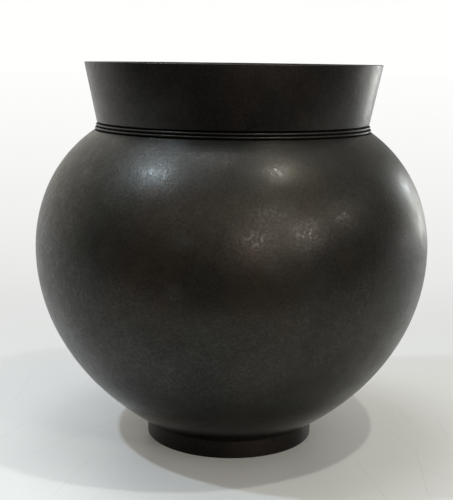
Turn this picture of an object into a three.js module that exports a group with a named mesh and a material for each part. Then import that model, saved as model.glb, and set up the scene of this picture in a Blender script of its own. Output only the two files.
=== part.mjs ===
// A round bronze flower vase: a turned globe with a flared collar, two beads
// between three grooves round its throat, and a separate foot ring.
// Millimetres, +Z up. The vase's axis is Z and it stands on Z = 0.

import * as THREE from 'three';

// Heights above the ground
const HEIGHT = 242;
const FOOT_HEIGHT = 11;
const BELLY_Z = 125.9;
const SHOULDER_END_Z = 200.05;
const MOUTH_SEAT_Z = 204.4;
const NECK_EDGE_Z = 205.45;
const COLLAR_UNDERSIDE_Z = 196.5;
const SPIGOT_END_Z = 194;
const INSIDE_FLOOR_Z = 11.5;
const REBATE_Z = 9.5;
const UNDERSIDE_Z = 7;

// Outer radii
const BELLY_RADIUS = 125.6;
const RIM_RADIUS = 93.6;
const NECK_RADIUS = 86.3;
const FOOT_RADIUS = 54.3;

// The globe's outline, as arcs that run tangent into one another from its widest
// ring. Each arc hands over to the next at an angle, and the last has no angle
// because it ends at a height.
const UPPER_ARCS = [
  { radius: 96, until: 21 },
  { radius: 85 },
];
const LOWER_ARCS = [
  { radius: 118, until: 29 },
  { radius: 145, until: 47.5 },
  { radius: 189 },
];

// Wall, lip and throat
const WALL = 3;
const LIP_WIDTH = 4;
const LIP_ROUNDING = 0.5;
const BEAD_RADIUS = 0.6;
const BEADS = [
  { tip: 87.5, z: 201.6 },
  { tip: 86.9, z: 203.6 },
];
const GROOVE_DEPTH = 1.2;
const MOUTH_FACE_RADIUS = 85.2;

// The neck's spigot in the globe's mouth
const MOUTH_BORE_RADIUS = 82.6;
const CLEARANCE = 0.3;
const SPIGOT_WALL = 2.5;
const THROAT_FILLET_TOP_Z = 208;
const THROAT_FILLET_END_Z = 202;

// The foot joint and the disc that closes the globe's bottom
const TENON_RADIUS = 51.6;
const FOOT_RING_BORE = 49.2;
const FOOT_EDGE = 0.4;
const PLATE_REBATE_RADIUS = 42;
const BOTTOM_HOLE_RADIUS = 38;

// Solder left standing at the joints, out of sight
const NECK_SOLDER = 2.3;
const FOOT_SOLDER = 2.4;
const PLATE_SOLDER = 0.7;
const PLATE_SOLDER_HALF_WIDTH = 1.3;

// Fineness of the turned surfaces
const SEGMENTS = 64;
const ARC_STEP = THREE.MathUtils.degToRad(8);
const SMALL_ARC_STEPS = 4;

const SOLDER = { color: 0x6f6a5e, roughness: 0.55, metalness: 0.7 };

const point = (radius, z) => new THREE.Vector2(radius, z);

// Points along one half of the globe's outline, from its widest ring up or down
// to a height. An inset moves the whole outline into the metal, so the inner
// wall runs parallel to the outer one.
function globeOutline(arcs, direction, inset, endZ) {
  const points = [];
  let angle = 0;
  let centre = point(BELLY_RADIUS - arcs[0].radius, BELLY_Z);
  for (const [index, arc] of arcs.entries()) {
    const radius = arc.radius - inset;
    const stop = arc.until === undefined
      ? Math.asin((direction * (endZ - centre.y)) / radius)
      : THREE.MathUtils.degToRad(arc.until);
    const steps = Math.ceil((stop - angle) / ARC_STEP);
    for (let step = 1; step <= steps; step += 1) {
      const turn = angle + ((stop - angle) * step) / steps;
      const across = radius * Math.cos(turn);
      const along = direction * radius * Math.sin(turn);
      points.push(point(centre.x + across, centre.y + along));
    }
    angle = stop;
    if (arcs[index + 1]) {
      const shift = arc.radius - arcs[index + 1].radius;
      const shiftZ = direction * shift * Math.sin(stop);
      centre = point(centre.x + shift * Math.cos(stop), centre.y + shiftZ);
    }
  }
  return points;
}

// A small round edge about a centre, between two angles in degrees.
function smallArc(centreR, centreZ, radius, from, to) {
  const points = [];
  for (let step = 0; step <= SMALL_ARC_STEPS; step += 1) {
    const share = step / SMALL_ARC_STEPS;
    const turn = THREE.MathUtils.degToRad(from + (to - from) * share);
    const across = radius * Math.cos(turn);
    points.push(point(centreR + across, centreZ + radius * Math.sin(turn)));
  }
  return points;
}

// A bead of half-round section with the floor of the groove below it.
function beadOverGroove(bead, floorBelow) {
  const centreR = bead.tip - BEAD_RADIUS;
  return [
    point(floorBelow, bead.z - BEAD_RADIUS),
    ...smallArc(centreR, bead.z, BEAD_RADIUS, -90, 90),
  ];
}

// A solid of revolution about Z. The profile runs up its outer side.
function turned(name, profile, finish) {
  const geometry = new THREE.LatheGeometry(profile, SEGMENTS);
  geometry.rotateX(Math.PI / 2);
  const mesh = new THREE.Mesh(geometry, new THREE.MeshStandardMaterial(finish));
  mesh.name = name;
  return mesh;
}

const closed = (profile) => [...profile, profile[0].clone()];

// The cast globe: open mouth with a seat for the neck, and a bottom with a
// tenon for the foot ring round a rebated hole.
function makeBody() {
  const shoulder = globeOutline(UPPER_ARCS, 1, 0, SHOULDER_END_Z);
  const underside = globeOutline(LOWER_ARCS, -1, 0, FOOT_HEIGHT).reverse();
  const innerTop = globeOutline(UPPER_ARCS, 1, WALL, COLLAR_UNDERSIDE_Z).reverse();
  const innerBottom = globeOutline(LOWER_ARCS, -1, WALL, INSIDE_FLOOR_Z);
  const [lowBead, highBead] = BEADS;
  const lowFloor = lowBead.tip - GROOVE_DEPTH;
  const highFloor = highBead.tip - GROOVE_DEPTH;
  const profile = [
    point(BOTTOM_HOLE_RADIUS, INSIDE_FLOOR_Z),
    point(BOTTOM_HOLE_RADIUS, REBATE_Z),
    point(PLATE_REBATE_RADIUS, REBATE_Z),
    point(PLATE_REBATE_RADIUS, UNDERSIDE_Z),
    point(TENON_RADIUS, UNDERSIDE_Z),
    point(TENON_RADIUS, FOOT_HEIGHT),
    ...underside,
    point(BELLY_RADIUS, BELLY_Z),
    ...shoulder,
    point(lowFloor, SHOULDER_END_Z),
    ...beadOverGroove(lowBead, lowFloor),
    point(highFloor, lowBead.z + BEAD_RADIUS),
    ...beadOverGroove(highBead, highFloor),
    point(MOUTH_FACE_RADIUS, highBead.z + BEAD_RADIUS),
    point(MOUTH_FACE_RADIUS, MOUTH_SEAT_Z),
    point(MOUTH_BORE_RADIUS, MOUTH_SEAT_Z),
    point(MOUTH_BORE_RADIUS, COLLAR_UNDERSIDE_Z),
    ...innerTop,
    point(BELLY_RADIUS - WALL, BELLY_Z),
    ...innerBottom,
  ];
  return turned('body', closed(profile), { color: 0x453f33, roughness: 0.32, metalness: 0.8 });
}

// The flared collar: a straight cone with a thicker lip, and a spigot that
// drops into the globe's mouth. Its lower edge hides the seam in the top groove.
function makeNeck() {
  const spigotOuter = MOUTH_BORE_RADIUS - CLEARANCE;
  const spigotInner = spigotOuter - SPIGOT_WALL;
  const lipInner = RIM_RADIUS - LIP_WIDTH;
  const edgeZ = HEIGHT - LIP_ROUNDING;
  const throat = new THREE.QuadraticBezierCurve(
    point(NECK_RADIUS - WALL, THROAT_FILLET_TOP_Z),
    point(spigotInner, (THROAT_FILLET_TOP_Z + THROAT_FILLET_END_Z) / 2),
    point(spigotInner, THROAT_FILLET_END_Z),
  );
  const profile = [
    point(spigotInner, SPIGOT_END_Z),
    point(spigotOuter, SPIGOT_END_Z),
    point(spigotOuter, MOUTH_SEAT_Z),
    point(MOUTH_FACE_RADIUS, MOUTH_SEAT_Z),
    point(NECK_RADIUS, NECK_EDGE_Z),
    ...smallArc(RIM_RADIUS - LIP_ROUNDING, edgeZ, LIP_ROUNDING, 0, 90),
    ...smallArc(lipInner + LIP_ROUNDING, edgeZ, LIP_ROUNDING, 90, 180),
    ...throat.getPoints(SMALL_ARC_STEPS),
  ];
  return turned('neck', closed(profile), { color: 0x2b2621, roughness: 0.34, metalness: 0.8 });
}

// The foot ring: a plain band that the globe's tenon sits in, bearing on its
// top face, with softened edges where it stands.
function makeFootRing() {
  const socket = TENON_RADIUS + CLEARANCE;
  const ledgeZ = UNDERSIDE_Z - CLEARANCE;
  const profile = [
    point(FOOT_RING_BORE, FOOT_EDGE),
    point(FOOT_RING_BORE + FOOT_EDGE, 0),
    point(FOOT_RADIUS - FOOT_EDGE, 0),
    point(FOOT_RADIUS, FOOT_EDGE),
    point(FOOT_RADIUS, FOOT_HEIGHT),
    point(socket, FOOT_HEIGHT),
    point(socket, ledgeZ),
    point(FOOT_RING_BORE, ledgeZ),
  ];
  return turned('foot_ring', closed(profile), { color: 0x33251c, roughness: 0.45, metalness: 0.75 });
}

// The stepped disc let into the globe's bottom from below. Its flange seats in
// the rebate and its centre stands flush with the floor inside.
function makeBasePlate() {
  const edge = PLATE_REBATE_RADIUS - CLEARANCE;
  const centre = BOTTOM_HOLE_RADIUS - CLEARANCE;
  const profile = [
    point(0, UNDERSIDE_Z),
    point(edge, UNDERSIDE_Z),
    point(edge, REBATE_Z),
    point(centre, REBATE_Z),
    point(centre, INSIDE_FLOOR_Z),
    point(0, INSIDE_FLOOR_Z),
  ];
  return turned('base_plate', profile, { color: 0x3a3026, roughness: 0.5, metalness: 0.75 });
}

// A hollow-faced fillet of solder that hangs from a flat face beside an upright
// one, on its outer (1) or inner (-1) side.
function makeFillet(name, uprightRadius, size, faceZ, side) {
  const centreR = uprightRadius + side * size;
  const centreZ = faceZ - size;
  const hollow = side === 1
    ? smallArc(centreR, centreZ, size, 180, 90)
    : smallArc(centreR, centreZ, size, 90, 0);
  const profile = [...hollow, point(uprightRadius, faceZ)];
  return turned(name, closed(profile), SOLDER);
}

// A low flat bead of solder over the joint between the base plate and the globe.
function makePlateSolder() {
  const joint = PLATE_REBATE_RADIUS - CLEARANCE / 2;
  const crown = PLATE_SOLDER_HALF_WIDTH / 2;
  const profile = [
    point(joint - PLATE_SOLDER_HALF_WIDTH, UNDERSIDE_Z),
    point(joint - crown, UNDERSIDE_Z - PLATE_SOLDER),
    point(joint + crown, UNDERSIDE_Z - PLATE_SOLDER),
    point(joint + PLATE_SOLDER_HALF_WIDTH, UNDERSIDE_Z),
  ];
  return turned('base_plate_solder_seam', closed(profile), SOLDER);
}

const vase = new THREE.Group();
vase.add(
  makeBody(),
  makeNeck(),
  makeFootRing(),
  makeBasePlate(),
  makeFillet('neck_solder_seam', MOUTH_BORE_RADIUS, NECK_SOLDER, COLLAR_UNDERSIDE_Z, 1),
  makeFillet('foot_solder_seam', FOOT_RING_BORE - CLEARANCE, FOOT_SOLDER, UNDERSIDE_Z, -1),
  makePlateSolder(),
);

export default vase;
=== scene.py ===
import math

import bmesh
import bpy
from mathutils import Matrix, Vector


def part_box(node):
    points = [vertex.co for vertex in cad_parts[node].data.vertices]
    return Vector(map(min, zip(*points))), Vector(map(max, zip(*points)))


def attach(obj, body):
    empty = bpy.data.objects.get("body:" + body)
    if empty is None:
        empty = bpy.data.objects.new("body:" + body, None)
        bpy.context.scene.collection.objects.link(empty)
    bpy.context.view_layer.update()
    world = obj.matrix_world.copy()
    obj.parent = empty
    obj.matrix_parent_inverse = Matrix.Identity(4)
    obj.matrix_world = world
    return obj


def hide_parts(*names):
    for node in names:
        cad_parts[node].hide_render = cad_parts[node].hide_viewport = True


# A round bronze flower vase on a pale studio floor. Metres, +Z up, and the
# vase's axis is Z. Angles are in degrees in the arcs' tables, in the places of
# spots and lamps and where a name ends in _deg, and in radians elsewhere.

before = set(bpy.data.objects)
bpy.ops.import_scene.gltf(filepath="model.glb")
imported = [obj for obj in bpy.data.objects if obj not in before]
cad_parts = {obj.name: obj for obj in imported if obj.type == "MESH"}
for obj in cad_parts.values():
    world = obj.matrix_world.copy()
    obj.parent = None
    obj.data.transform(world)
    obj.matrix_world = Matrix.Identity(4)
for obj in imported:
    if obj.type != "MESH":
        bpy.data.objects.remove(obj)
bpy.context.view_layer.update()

# The globe's outline, as arcs that run tangent into one another from its
# widest ring: radius, and the angle at which each hands over to the next
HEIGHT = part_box("neck")[1][2]
BELLY_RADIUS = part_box("body")[1][0]
RIM_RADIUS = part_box("neck")[1][0]
FOOT_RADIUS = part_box("foot_ring")[1][0]
FOOT_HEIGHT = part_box("foot_ring")[1][2]
BELLY_Z = 0.1259
UPPER_ARCS = ((0.096, 21.0), (0.085, None))
LOWER_ARCS = ((0.118, 29.0), (0.145, 47.5), (0.189, None))
ARC_STEP = math.radians(1.0)

# The throat: each bead's tip radius and height, the grooves, and the neck
SHOULDER_END_Z = 0.20005
BEAD_RADIUS = 0.0006
BEADS = ((0.0875, 0.2016), (0.0869, 0.2036))
GROOVE_DEPTH = 0.0012
MOUTH_FACE_RADIUS = 0.0852
MOUTH_SEAT_Z = 0.2044
MOUTH_BORE_RADIUS = 0.0826
COLLAR_UNDERSIDE_Z = 0.1965
NECK_RADIUS = 0.0863
NECK_EDGE_Z = 0.20545
LIP_WIDTH = 0.004
LIP_ROUNDING = 0.0005
SPIGOT_INNER_RADIUS = 0.0798
SPIGOT_OUTER_RADIUS = 0.0823
SPIGOT_END_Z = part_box("neck")[0][2]
THROAT_TOP_Z = 0.208
THROAT_END_Z = 0.202
THROAT_STEPS = 12

# Wall, bottom and foot
WALL = 0.003
INSIDE_FLOOR_Z = 0.0115
REBATE_Z = 0.0095
UNDERSIDE_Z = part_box("base_plate")[0][2]
TENON_RADIUS = 0.0516
SOCKET_RADIUS = 0.0519
FOOT_BORE = 0.0492
FOOT_EDGE = 0.0004
FOOT_LEDGE_Z = 0.0067
REBATE_RADIUS = 0.042
HOLE_RADIUS = 0.038

SEGMENTS = 288
SMALL_ARC_STEPS = 8
FOOT_EDGE_STEPS = 4
MERGE_DISTANCE = 1e-6
SMOOTH_LIMIT = math.radians(24)

# Patterns of the patina, as noise scales: the larger, the finer
CLOUD_SCALE = 13.0
DRIFT_SCALE = 9.0
WANDER_SCALE = 60.0
MOTTLE_SCALE = 80.0
RIPPLE_SCALE = 120.0
WAX_PATCH_SCALE = 150.0
PIT_SCALE = 330.0
WAX_SPECK_SCALE = 520.0
GRAIN_SCALE = 700.0
RIPPLE_HEIGHT = 0.0002
GRAIN_HEIGHT = 0.00016
METALLIC = 0.85
COAT_ROUGHNESS = 0.22
SCRATCH_REACH = 0.0004

# Where the globe's wax is smooth, low by the foot, and where its grooves get
# painted shade, near black: from this height up, and away from the middle of each bead
SMOOTH_ROUGHNESS = 0.16
SMOOTH_RISE = (0.012, 0.06)
BAND_RISE = (0.2000, 0.2002)
BEAD_EDGE = (0.0005, 0.0007)
GROOVE_ROUGHNESS = 0.9


def globe_outline(arcs, direction, inset, end_z):
    """Points from the globe's widest ring up (1) or down (-1) to a height."""
    points = []
    angle = 0.0
    centre_r = BELLY_RADIUS - arcs[0][0]
    centre_z = BELLY_Z
    for index, (outer_radius, until) in enumerate(arcs):
        radius = outer_radius - inset
        if until is None:
            stop = math.asin(direction * (end_z - centre_z) / radius)
        else:
            stop = math.radians(until)
        steps = math.ceil((stop - angle) / ARC_STEP)
        for step in range(1, steps + 1):
            turn = angle + (stop - angle) * step / steps
            across = centre_r + radius * math.cos(turn)
            points.append((across, centre_z + direction * radius * math.sin(turn)))
        angle = stop
        if index + 1 < len(arcs):
            shift = outer_radius - arcs[index + 1][0]
            centre_r += shift * math.cos(stop)
            centre_z += direction * shift * math.sin(stop)
    return points


def globe_at(height):
    """Radius of the globe's outside at a height, and its slope there."""
    if height > BELLY_Z:
        outline = globe_outline(UPPER_ARCS, 1, 0.0, SHOULDER_END_Z)
    else:
        outline = globe_outline(LOWER_ARCS, -1, 0.0, FOOT_HEIGHT)
    near = min(range(1, len(outline)), key=lambda i: abs(outline[i][1] - height))
    (low_r, low_z), (high_r, high_z) = outline[near - 1], outline[near]
    return high_r, (high_r - low_r) / (high_z - low_z)


def around(radius, turn_deg, height):
    """A place at a radius from the axis, a turn from the front and a height."""
    turn = math.radians(turn_deg)
    return Vector((radius * math.sin(turn), -radius * math.cos(turn), height))


def on_globe(turn_deg, height):
    """A place on the globe's outside."""
    radius, _slope = globe_at(height)
    return around(radius, turn_deg, height)


def on_neck(turn_deg, height):
    """A place on the neck, which widens evenly from its edge to its rim."""
    share = (height - NECK_EDGE_Z) / (HEIGHT - NECK_EDGE_Z)
    return around(NECK_RADIUS + (RIM_RADIUS - NECK_RADIUS) * share, turn_deg, height)


def small_arc(centre_r, centre_z, radius, start_deg, end_deg, steps=SMALL_ARC_STEPS):
    """Points of a small round edge."""
    points = []
    for step in range(steps + 1):
        turn = math.radians(start_deg + (end_deg - start_deg) * step / steps)
        across = centre_r + radius * math.cos(turn)
        points.append((across, centre_z + radius * math.sin(turn)))
    return points


def turned(name, profile, node, material):
    """A closed profile turned once round the axis, in place of a CAD node."""
    bm = bmesh.new()
    verts = [bm.verts.new((radius, 0.0, z)) for radius, z in profile]
    edges = [bm.edges.new((verts[i - 1], verts[i])) for i in range(len(verts))]
    bmesh.ops.spin(
        bm,
        geom=verts + edges,
        axis=(0, 0, 1),
        cent=(0, 0, 0),
        angle=math.tau,
        steps=SEGMENTS,
        use_merge=True,
    )
    bmesh.ops.remove_doubles(bm, verts=bm.verts, dist=MERGE_DISTANCE)
    bmesh.ops.recalc_face_normals(bm, faces=bm.faces)
    for face in bm.faces:
        face.smooth = True
    for edge in bm.edges:
        edge.smooth = edge.calc_face_angle(0.0) < SMOOTH_LIMIT
    mesh = bpy.data.meshes.new(name)
    bm.to_mesh(mesh)
    bm.free()
    mesh.materials.append(material)
    piece = bpy.data.objects.new(name, mesh)
    bpy.context.scene.collection.objects.link(piece)
    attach(piece, "root")
    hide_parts(node)


class Value:
    """A number socket, or a number, that takes part in shader arithmetic."""

    def __init__(self, shader, source):
        self.shader = shader
        self.source = source

    def _math(self, operation, *values, clamp=False):
        settings = {"operation": operation, "use_clamp": clamp}
        node = self.shader.node("ShaderNodeMath", settings, values)
        return Value(self.shader, node.outputs[0])

    def __add__(self, other):
        return self._math("ADD", self, other)

    __radd__ = __add__

    def __sub__(self, other):
        return self._math("SUBTRACT", self, other)

    def __rsub__(self, other):
        return self._math("SUBTRACT", other, self)

    def __mul__(self, other):
        return self._math("MULTIPLY", self, other)

    __rmul__ = __mul__

    def __truediv__(self, other):
        return self._math("DIVIDE", self, other)

    def __rtruediv__(self, other):
        return self._math("DIVIDE", other, self)

    def away_from(self, centre):
        """How far the number is from another, either way."""
        return self._math("ABSOLUTE", self - centre)

    def or_less(self, other):
        """The lower of two numbers."""
        return self._math("MINIMUM", self, other)

    def clamped(self):
        return self._math("ADD", self, 0.0, clamp=True)

    def between(self, low, high):
        """0 below low, 1 above high, and a soft rise between them."""
        settings = {"interpolation_type": "SMOOTHSTEP"}
        inputs = {"Value": self, "From Min": low, "From Max": high}
        node = self.shader.node("ShaderNodeMapRange", settings, inputs)
        return Value(self.shader, node.outputs["Result"])


class Shader:
    """Builds the nodes of one material or world."""

    def __init__(self, owner, output="ShaderNodeOutputMaterial"):
        self.owner = owner
        owner.use_nodes = True
        self.tree = owner.node_tree
        self.tree.nodes.clear()
        self.output = output
        self.place = None
        self.uneven = None

    def node(self, kind, settings=None, inputs=None):
        node = self.tree.nodes.new(kind)
        for key, value in (settings or {}).items():
            setattr(node, key, value)
        if isinstance(inputs, dict):
            pairs = inputs.items()
        else:
            pairs = enumerate(inputs or ())
        for key, value in pairs:
            source = value.source if isinstance(value, Value) else value
            if isinstance(source, bpy.types.NodeSocket):
                self.tree.links.new(source, node.inputs[key])
            else:
                node.inputs[key].default_value = source
        return node

    def position(self):
        if self.place is None:
            self.place = self.node("ShaderNodeTexCoord").outputs["Object"]
        return self.place

    def axes(self, vector):
        """The X, Y and Z of a vector, as numbers."""
        node = self.node("ShaderNodeSeparateXYZ", inputs=[vector])
        return [Value(self, output) for output in node.outputs]

    def noise(self, scale, detail=2.0, rough=0.5, distortion=0.0, output="Fac"):
        inputs = {
            "Vector": self.position(),
            "Scale": scale,
            "Detail": detail,
            "Roughness": rough,
            "Distortion": distortion,
        }
        node = self.node("ShaderNodeTexNoise", inputs=inputs)
        return Value(self, node.outputs[output])

    def vector(self, operation, *inputs):
        """Vector arithmetic that gives a vector."""
        node = self.node("ShaderNodeVectorMath", {"operation": operation}, inputs)
        return node.outputs["Vector"]

    def number(self, operation, *inputs):
        """Vector arithmetic that gives a number."""
        node = self.node("ShaderNodeVectorMath", {"operation": operation}, inputs)
        return Value(self, node.outputs["Value"])

    def wander(self):
        """A small wandering vector, so that spots get uneven edges."""
        if self.uneven is None:
            noise = self.noise(WANDER_SCALE, detail=4.0, rough=0.6, output="Color")
            self.uneven = self.vector("SUBTRACT", noise, (0.5, 0.5, 0.5))
        return self.uneven

    def near(self, centre, reach):
        """1 at a place and 0 past a distance from it, falling softly, with an
        edge that wanders in proportion to that distance."""
        push = self.vector("MULTIPLY", self.wander(), (reach, reach, reach))
        place = self.vector("ADD", self.position(), push)
        return 1 - self.number("DISTANCE", place, centre).between(0.0, reach)

    def near_line(self, start, end, reach):
        """1 on a straight line between two places, 0 past a distance from it."""
        along = Vector(end) - Vector(start)
        ahead = self.vector("SUBTRACT", self.position(), start)
        share = (self.number("DOT_PRODUCT", ahead, along) / along.length_squared).clamped()
        inputs = {0: along, "Scale": share}
        stride = self.node("ShaderNodeVectorMath", {"operation": "SCALE"}, inputs)
        distance = self.number("DISTANCE", ahead, stride.outputs["Vector"])
        return 1 - distance.between(0.0, reach)

    def mix(self, share, first, second):
        """A colour mixed from two."""
        node = self.node("ShaderNodeMix", {"data_type": "RGBA"}, {0: share, 6: first, 7: second})
        return node.outputs[2]

    def bump(self, height, distance, strength, under=None):
        inputs = {"Height": height, "Distance": distance, "Strength": strength}
        if under is not None:
            inputs["Normal"] = under
        return self.node("ShaderNodeBump", inputs=inputs).outputs["Normal"]

    def finish(self, surface):
        self.node(self.output, inputs={"Surface": surface})
        return self.owner


def colour(red, green, blue):
    return (red, green, blue, 1.0)


BLACK = colour(0.0, 0.0, 0.0)
# Near black, a painted shade for the globe's grooves
GROOVE_SHADE_TONE = colour(0.009, 0.008, 0.008)


def patina_tone(shader, tones, spots, scratches, mottle, grain):
    """Cloudy tones with spots where it is darker, browner or paler."""
    clouds = shader.noise(CLOUD_SCALE, detail=5.0, rough=0.62, distortion=0.5).between(0.34, 0.68)
    tone = shader.mix(clouds, tones["dark"], tones["light"])
    drift = shader.noise(DRIFT_SCALE, detail=4.0, distortion=0.8).between(0.48, 0.72)
    tone = shader.mix(0.4 * drift, tone, tones["brown"])
    for centre, reach, strength, kind in spots:
        spot = shader.near(centre, reach) * (0.6 + 0.4 * mottle) * strength
        tone = shader.mix(spot.clamped(), tone, tones[kind])
    pits = shader.noise(PIT_SCALE).between(0.3, 0.42)
    tone = shader.mix(0.5 - 0.5 * pits, tone, tones["dark"])
    tone = shader.mix(0.28 * grain.between(0.42, 0.66), tone, tones["pale"])
    for start, end in scratches:
        line = shader.near_line(start, end, SCRATCH_REACH)
        tone = shader.mix(0.35 * line, tone, tones["pale"])
    return tone


def patina(name, tones, spots, roughness, gloss=0.28, scratches=(), globe=False):
    """Waxed bronze patina with a fine cast grain, and wax that shines on the
    tops of the grain. The globe is smooth by the foot, and its grooves are painted near black as
    shade."""
    shader = Shader(bpy.data.materials.new(name))
    mottle = shader.noise(MOTTLE_SCALE, detail=3.0, rough=0.6).between(0.3, 0.7)
    grain = shader.noise(GRAIN_SCALE, detail=3.0, rough=0.65)
    tone = patina_tone(shader, tones, spots, scratches, mottle, grain)
    normal = shader.bump(shader.noise(RIPPLE_SCALE, detail=1.0), RIPPLE_HEIGHT, 0.12)
    normal = shader.bump(grain, GRAIN_HEIGHT, 0.6, normal)
    patches = shader.noise(WAX_PATCH_SCALE).between(0.35, 0.6)
    specks = shader.noise(WAX_SPECK_SCALE, rough=0.7).between(0.42, 0.62)
    wax = (0.25 + 0.75 * patches) * specks
    rough = roughness + 0.05 * (mottle - 0.5)
    if globe:
        height = shader.axes(shader.position())[2]
        rough = SMOOTH_ROUGHNESS + (rough - SMOOTH_ROUGHNESS) * height.between(*SMOOTH_RISE)
        off_beads = height.away_from(BEADS[0][1]).or_less(height.away_from(BEADS[1][1]))
        sunk = height.between(*BAND_RISE) * off_beads.between(*BEAD_EDGE)
        # Painted shade: the grooves are coloured near black
        tone = shader.mix(sunk, tone, GROOVE_SHADE_TONE)
        rough = rough + (GROOVE_ROUGHNESS - rough) * sunk
        wax = wax * (1 - sunk)
    inputs = {
        "Base Color": tone,
        "Metallic": METALLIC,
        "Roughness": rough,
        "Normal": normal,
        "Coat Weight": wax * gloss,
        "Coat Roughness": COAT_ROUGHNESS,
    }
    surface = shader.node("ShaderNodeBsdfPrincipled", inputs=inputs)
    return shader.finish(surface.outputs["BSDF"])


# Tones of each piece, and its spots, placed from the photograph: a turn from
# the front and a height, then reach, strength and tone
BODY_TONES = {
    "dark": colour(0.026, 0.024, 0.021),
    "light": colour(0.041, 0.040, 0.034),
    "brown": colour(0.052, 0.037, 0.027),
    "ochre": colour(0.054, 0.039, 0.024),
    "pale": colour(0.070, 0.069, 0.061),
}
BODY_SPOTS = (
    (on_globe(-7, 0.158), 0.045, 0.6, "brown"),
    (on_globe(-18, 0.146), 0.042, 0.8, "brown"),
    (on_globe(-27, 0.130), 0.036, 0.7, "brown"),
    (on_globe(-17, 0.120), 0.036, 0.6, "brown"),
    (on_globe(5, 0.127), 0.040, 0.8, "brown"),
    (on_globe(22, 0.067), 0.020, 0.3, "brown"),
    (on_globe(5, 0.122), 0.022, 0.6, "ochre"),
    (on_globe(20, 0.180), 0.050, 0.4, "ochre"),
    (on_globe(31, 0.137), 0.011, 0.6, "ochre"),
    (on_globe(43, 0.132), 0.010, 0.6, "ochre"),
    (on_globe(-6, 0.121), 0.020, 0.9, "dark"),
    (on_globe(40, 0.129), 0.028, 1.0, "dark"),
    (on_globe(18, 0.061), 0.020, 0.6, "dark"),
    (on_globe(-35, 0.133), 0.024, 0.6, "dark"),
    (on_globe(23, 0.122), 0.018, 0.3, "pale"),
    (on_globe(-51, 0.178), 0.010, 0.7, "pale"),
    (on_globe(-12, 0.149), 0.008, 0.6, "pale"),
    (on_globe(-14, 0.120), 0.008, 0.6, "pale"),
    (on_globe(11, 0.134), 0.010, 0.5, "pale"),
    (on_globe(-34, 0.140), 0.010, 0.4, "pale"),
)
BODY_SCRATCHES = (
    (on_globe(-33, 0.190), on_globe(-29, 0.194)),
    (on_globe(-20, 0.194), on_globe(-17, 0.192)),
    (on_globe(-41, 0.083), on_globe(-38, 0.086)),
)
NECK_TONES = {
    "dark": colour(0.019, 0.018, 0.017),
    "light": colour(0.033, 0.030, 0.027),
    "brown": colour(0.036, 0.025, 0.021),
    "pale": colour(0.062, 0.058, 0.052),
}
NECK_SPOTS = (
    (on_neck(2, 0.228), 0.022, 0.9, "brown"),
    (on_neck(1, 0.214), 0.014, 0.6, "brown"),
    (on_neck(24, 0.229), 0.018, 0.8, "brown"),
    (on_neck(26, 0.212), 0.009, 0.7, "brown"),
    (on_neck(-31, 0.214), 0.034, 0.4, "pale"),
)
FOOT_TONES = {
    "dark": colour(0.015, 0.012, 0.011),
    "light": colour(0.027, 0.022, 0.019),
    "brown": colour(0.042, 0.030, 0.025),
    "pale": colour(0.060, 0.052, 0.045),
}
FOOT_SPOTS = ((around(FOOT_RADIUS, 24, 0.006), 0.022, 0.9, "brown"),)
INSIDE_TONES = {
    "dark": colour(0.06, 0.045, 0.032),
    "light": colour(0.10, 0.075, 0.050),
    "brown": colour(0.11, 0.065, 0.04),
    "pale": colour(0.14, 0.11, 0.08),
}
SOLDER_TONES = {
    "dark": colour(0.13, 0.115, 0.10),
    "light": colour(0.24, 0.22, 0.19),
    "brown": colour(0.2, 0.16, 0.12),
    "pale": colour(0.3, 0.28, 0.25),
}


def make_body(material):
    """The globe, its wall, the beaded throat and the seats of the other pieces."""
    shoulder = globe_outline(UPPER_ARCS, 1, 0.0, SHOULDER_END_Z)
    underside = globe_outline(LOWER_ARCS, -1, 0.0, FOOT_HEIGHT)[::-1]
    inner_top = globe_outline(UPPER_ARCS, 1, WALL, COLLAR_UNDERSIDE_Z)[::-1]
    inner_bottom = globe_outline(LOWER_ARCS, -1, WALL, INSIDE_FLOOR_Z)
    profile = [
        (HOLE_RADIUS, INSIDE_FLOOR_Z),
        (HOLE_RADIUS, REBATE_Z),
        (REBATE_RADIUS, REBATE_Z),
        (REBATE_RADIUS, UNDERSIDE_Z),
        (TENON_RADIUS, UNDERSIDE_Z),
        (TENON_RADIUS, FOOT_HEIGHT),
        *underside,
        (BELLY_RADIUS, BELLY_Z),
        *shoulder,
    ]
    start_z = SHOULDER_END_Z
    for tip, bead_z in BEADS:
        floor = tip - GROOVE_DEPTH
        profile += [(floor, start_z), (floor, bead_z - BEAD_RADIUS)]
        profile += small_arc(tip - BEAD_RADIUS, bead_z, BEAD_RADIUS, -90, 90)
        start_z = bead_z + BEAD_RADIUS
    profile += [
        (MOUTH_FACE_RADIUS, start_z),
        (MOUTH_FACE_RADIUS, MOUTH_SEAT_Z),
        (MOUTH_BORE_RADIUS, MOUTH_SEAT_Z),
        (MOUTH_BORE_RADIUS, COLLAR_UNDERSIDE_Z),
        *inner_top,
        (BELLY_RADIUS - WALL, BELLY_Z),
        *inner_bottom,
    ]
    turned("vase_globe", profile, "body", material)


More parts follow.
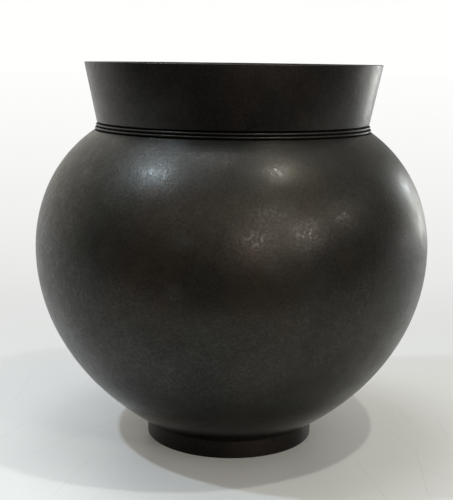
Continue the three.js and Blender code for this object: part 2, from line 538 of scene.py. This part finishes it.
def make_neck(material):
    """The flared neck with its spigot below and a curve into it inside."""
    lip_inner = RIM_RADIUS - LIP_WIDTH
    edge_z = HEIGHT - LIP_ROUNDING
    profile = [
        (SPIGOT_INNER_RADIUS, SPIGOT_END_Z),
        (SPIGOT_OUTER_RADIUS, SPIGOT_END_Z),
        (SPIGOT_OUTER_RADIUS, MOUTH_SEAT_Z),
        (MOUTH_FACE_RADIUS, MOUTH_SEAT_Z),
        (NECK_RADIUS, NECK_EDGE_Z),
        *small_arc(RIM_RADIUS - LIP_ROUNDING, edge_z, LIP_ROUNDING, 0, 90),
        *small_arc(lip_inner + LIP_ROUNDING, edge_z, LIP_ROUNDING, 90, 180),
    ]
    top = Vector((NECK_RADIUS - WALL, THROAT_TOP_Z))
    bend = Vector((SPIGOT_INNER_RADIUS, (THROAT_TOP_Z + THROAT_END_Z) / 2))
    end = Vector((SPIGOT_INNER_RADIUS, THROAT_END_Z))
    for step in range(THROAT_STEPS + 1):
        share = step / THROAT_STEPS
        profile.append(tuple(top.lerp(bend, share).lerp(bend.lerp(end, share), share)))
    turned("vase_neck", profile, "neck", material)


def make_foot_ring(material):
    """The upright foot, with a socket for the globe and small round edges."""
    profile = [
        *small_arc(FOOT_BORE + FOOT_EDGE, FOOT_EDGE, FOOT_EDGE, 180, 270, FOOT_EDGE_STEPS),
        *small_arc(FOOT_RADIUS - FOOT_EDGE, FOOT_EDGE, FOOT_EDGE, 270, 360, FOOT_EDGE_STEPS),
        (FOOT_RADIUS, FOOT_HEIGHT),
        (SOCKET_RADIUS, FOOT_HEIGHT),
        (SOCKET_RADIUS, FOOT_LEDGE_Z),
        (FOOT_BORE, FOOT_LEDGE_Z),
    ]
    turned("vase_foot_ring", profile, "foot_ring", material)


def give_material(name, material):
    """A new material for a CAD node that keeps its shape."""
    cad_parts[name].material_slots[0].material = material


make_body(
    patina(
        "olive_brown_patina",
        BODY_TONES,
        BODY_SPOTS,
        roughness=0.38,
        scratches=BODY_SCRATCHES,
        globe=True,
    )
)
make_neck(patina("near_black_patina", NECK_TONES, NECK_SPOTS, roughness=0.34, gloss=0.2))
make_foot_ring(patina("red_brown_patina", FOOT_TONES, FOOT_SPOTS, roughness=0.40, gloss=0.1))
dull_bronze = patina("dull_brown_bronze", INSIDE_TONES, (), roughness=0.5, gloss=0.0)
solder = patina("grey_brown_solder", SOLDER_TONES, (), roughness=0.5, gloss=0.0)
give_material("base_plate", dull_bronze)
give_material("neck_solder_seam", solder)
give_material("foot_solder_seam", solder)
give_material("base_plate_solder_seam", solder)

# The camera, solved from the photograph's outline and ellipses
FRAME_HEIGHT_PX = 500
FOCAL_PX = 1015.8
SENSOR_MM = 36.0
CAMERA_PLACE = (0.0, -0.65226, 0.24492)
PITCH = math.radians(10.679)
ROLL = math.radians(-0.75)
YAW = math.radians(-0.274)

# The floor: how far it reaches, where it ends in front of the vase, how it
# fades to white behind it, and how much darker it is painted where the vase
# mirrors it: a painted dim reflection in front and a painted shadow close by the foot
FLOOR_REACH = 8.0
FLOOR_FRONT = 0.32
FLOOR_FADE = (0.0, 0.5)
FLOOR_ROUGHNESS = 0.35
FLOOR_TONE = colour(0.88, 0.88, 0.86)
# Painted reflection and painted shadow: floor tones seen only in the vase's mirror image
MIRRORED_FLOOR_TONE = colour(0.5, 0.5, 0.49)
MIRRORED_FADE = (-0.25, 0.05)
SHADED_FLOOR_TONE = colour(0.32, 0.32, 0.31)
FOOT_SHADOW_REACH = (0.075, 0.15)
FOOT_SHADOW_FADE = (-0.07, -0.01)
FALL_OFF = 0.165
FALL_OFF_DEPTH = 0.4
SCRATCH_TONE = colour(0.3, 0.3, 0.3)

# The floor's scratches, listed: the X and Y of their two ends
FLOOR_SCRATCHES = (
    ((-0.140, -0.075), (-0.075, 0.015)),
    ((-0.150, -0.030), (-0.130, 0.020)),
    ((-0.155, 0.050), (-0.155, 0.130)),
    ((-0.100, -0.115), (-0.085, -0.055)),
    ((0.095, 0.025), (0.120, -0.035)),
    ((0.120, -0.035), (0.115, -0.105)),
    ((0.120, 0.055), (0.125, 0.015)),
    ((0.100, -0.040), (0.130, -0.080)),
    ((0.060, 0.000), (0.090, -0.025)),
    ((0.080, -0.055), (0.090, -0.110)),
    ((0.145, 0.020), (0.145, -0.015)),
)

# The room that the vase mirrors, as levels of light
BACKDROP = colour(1.0, 1.0, 0.99)
ROOM_TINT = colour(1.0, 0.98, 0.9)
ROOM_FRONT = 0.10
ROOM_LEFT = 0.84
ROOM_RIGHT = 0.40
CEILING = 0.51
ZENITH = 0.14


def make_camera():
    data = bpy.data.cameras.new("camera")
    data.sensor_width = SENSOR_MM
    data.lens = FOCAL_PX / FRAME_HEIGHT_PX * SENSOR_MM
    camera = bpy.data.objects.new("camera", data)
    bpy.context.scene.collection.objects.link(camera)
    level = math.cos(PITCH)
    forward = Vector((math.sin(YAW) * level, math.cos(YAW) * level, -math.sin(PITCH)))
    right = Vector((math.cos(YAW), -math.sin(YAW), 0.0))
    up = right.cross(forward)
    rolled_right = math.cos(ROLL) * right - math.sin(ROLL) * up
    rolled_up = math.sin(ROLL) * right + math.cos(ROLL) * up
    turn = Matrix((rolled_right, rolled_up, -forward)).transposed()
    camera.matrix_world = Matrix.Translation(CAMERA_PLACE) @ turn.to_4x4()
    bpy.context.scene.camera = camera


def make_lamp(name, turn_deg, height, distance, size, power, tint, tall=None):
    """A lamp whose mirror image shows on the globe at a turn from its front and
    a height, facing that place from a distance."""
    _radius, slope = globe_at(height)
    place = on_globe(turn_deg, height)
    normal = (around(1.0, turn_deg, 0.0) - Vector((0, 0, slope))).normalized()
    sight = (place - Vector(CAMERA_PLACE)).normalized()
    mirrored = sight.reflect(normal)
    data = bpy.data.lights.new(name, "AREA")
    data.shape = "RECTANGLE"
    data.size = size
    data.size_y = tall or size
    data.energy = power
    data.color = tint
    lamp = bpy.data.objects.new(name, data)
    bpy.context.scene.collection.objects.link(lamp)
    lamp.location = place + mirrored * distance
    lamp.rotation_euler = mirrored.to_track_quat("Z", "Y").to_euler()


def make_floor_material():
    """Pale and scratched where the vase stands, fading to white behind it."""
    shader = Shader(bpy.data.materials.new("pale_floor"))
    light_path = shader.node("ShaderNodeLightPath").outputs
    camera_ray = Value(shader, light_path["Is Camera Ray"])
    glossy_ray = Value(shader, light_path["Is Glossy Ray"])
    depth = shader.axes(shader.position())[1]
    in_front = 1 - depth.between(*MIRRORED_FADE)
    # Painted reflection: the floor in front is darker only where the vase mirrors it
    tone = shader.mix(glossy_ray * in_front, FLOOR_TONE, MIRRORED_FLOOR_TONE)
    # Painted shadow: the floor by the foot is darker only where the vase mirrors it
    painted_foot_shadow = 1 - shader.number("LENGTH", shader.position()).between(*FOOT_SHADOW_REACH)
    painted_foot_shadow = painted_foot_shadow * (1 - depth.between(*FOOT_SHADOW_FADE))
    tone = shader.mix(glossy_ray * painted_foot_shadow, tone, SHADED_FLOOR_TONE)
    for start, end in FLOOR_SCRATCHES:
        line = shader.near_line((*start, 0.0), (*end, 0.0), SCRATCH_REACH)
        tone = shader.mix(0.2 * line, tone, SCRATCH_TONE)
    inputs = {"Base Color": tone, "Roughness": FLOOR_ROUGHNESS}
    lit = shader.node("ShaderNodeBsdfPrincipled", inputs=inputs)
    share = (camera_ray + glossy_ray).clamped() * depth.between(*FLOOR_FADE)
    level = 1 - FALL_OFF / (depth + FALL_OFF_DEPTH)
    glow = shader.mix(level, BLACK, BACKDROP)
    white = shader.node("ShaderNodeEmission", inputs=[glow])
    sides = [share, lit.outputs["BSDF"], white.outputs["Emission"]]
    return shader.finish(shader.node("ShaderNodeMixShader", inputs=sides).outputs[0])


def make_floor():
    """A flat floor that runs back far behind the vase and ends in front."""
    bm = bmesh.new()
    bmesh.ops.create_grid(bm, x_segments=1, y_segments=1, size=FLOOR_REACH)
    centre = (0, FLOOR_REACH - FLOOR_FRONT, 0)
    bmesh.ops.translate(bm, vec=centre, verts=bm.verts)
    mesh = bpy.data.meshes.new("floor")
    bm.to_mesh(mesh)
    bm.free()
    mesh.materials.append(make_floor_material())
    floor = bpy.data.objects.new("floor", mesh)
    bpy.context.scene.collection.objects.link(floor)


def make_world():
    """White where the camera looks. What the vase mirrors is a bright room
    behind it, more so on the left, and a dim one in front with a pale ceiling."""
    shader = Shader(bpy.data.worlds.new("studio"), "ShaderNodeOutputWorld")
    direction = shader.node("ShaderNodeTexCoord").outputs["Generated"]
    side, depth, rise = shader.axes(direction)
    front = ROOM_FRONT + (CEILING - ROOM_FRONT) * rise.between(0.15, 0.55)
    back = ROOM_LEFT + (ROOM_RIGHT - ROOM_LEFT) * side.between(-0.3, 0.3)
    room = front + (back - front) * depth.between(-0.1, 0.4)
    room = room + (ZENITH - room) * rise.between(0.6, 1.0)
    camera_ray = Value(shader, shader.node("ShaderNodeLightPath").outputs["Is Camera Ray"])
    level = room + (1 - room) * camera_ray
    tint = shader.mix(camera_ray, ROOM_TINT, BACKDROP)
    light = shader.mix(level, BLACK, tint)
    surface = shader.node("ShaderNodeBackground", inputs=[light]).outputs[0]
    bpy.context.scene.world = shader.finish(surface)


def make_lamps():
    """Two small lamps that cast the shadows, soft ones overhead and in front,
    and a tall window on the right."""
    make_lamp("lamp_left", -23.4, 0.183, 1.1, 0.04, 4.3, (0.70, 0.84, 1.0))
    make_lamp("lamp_right", 13.8, 0.185, 1.1, 0.04, 2.6, (0.96, 1.0, 0.94))
    make_lamp("overhead", -4.0, 0.196, 1.2, 0.5, 3.6, (0.92, 0.95, 1.0))
    make_lamp("overhead_left", -25.0, 0.193, 1.2, 0.4, 1.4, (0.80, 0.87, 1.0))
    make_lamp("overhead_right", 25.0, 0.193, 1.2, 0.4, 0.33, (0.85, 0.92, 1.0))
    make_lamp("lamp_front_right", 19.0, 0.1545, 1.3, 0.12, 2.2, (1.0, 0.91, 0.87))
    make_lamp("lamp_front", 6.6, 0.151, 1.3, 0.2, 1.8, (1.0, 0.93, 0.85))
    make_lamp("lamp_front_up", 10.0, 0.164, 1.3, 0.3, 1.0, (0.95, 1.0, 0.86))
    make_lamp("lamp_side", 30.9, 0.161, 1.3, 0.06, 0.7, (1.0, 0.9, 0.87))
    make_lamp("lamp_far_right", 64.9, 0.171, 1.5, 0.08, 0.45, (0.76, 0.85, 1.0))
    make_lamp("lamp_far_right_low", 55.0, 0.144, 1.5, 0.04, 0.3, (1.0, 1.0, 1.0))
    make_lamp("window_right", 67.0, 0.158, 1.5, 0.15, 2.9, (0.97, 1.0, 0.94), tall=0.6)


make_camera()
make_floor()
make_world()
make_lamps()
bpy.context.scene.view_settings.view_transform = "Standard"
